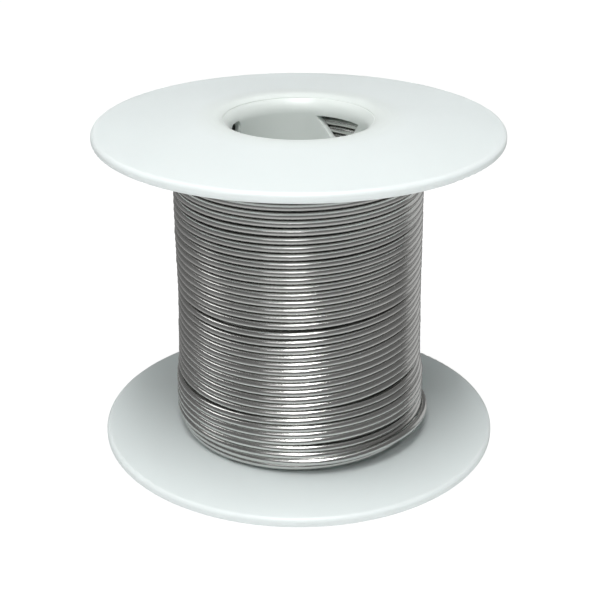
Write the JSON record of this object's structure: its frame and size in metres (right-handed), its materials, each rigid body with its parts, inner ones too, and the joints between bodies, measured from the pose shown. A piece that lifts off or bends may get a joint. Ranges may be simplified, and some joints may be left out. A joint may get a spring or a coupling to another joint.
{
  "type": "solder wire spool",
  "caption": "Small plastic spool with round flanges, a flared through bore and V-shaped barrel windows, wound with bright solder wire.",
  "frame": {"origin": "centre of the lower hub's face, on the spool's axis", "axes": "+Z along the spool's axis from the lower flange to the upper one; +X to the right of a viewer who looks along +Y"},
  "size_m": [0.0508, 0.0508, 0.0437],
  "materials": {
    "spool_plastic": "natural white, slightly translucent moulded plastic, satin",
    "solder_wire": "bright drawn tin-alloy wire"
  },
  "bodies": {
    "root": {"spool_body": "spool_plastic", "wire_start_end": "solder_wire", "wire_inner_layers": "solder_wire", "wire_outer_layer": "solder_wire", "wire_last_turns": "solder_wire"}
  },
  "joints": []
}
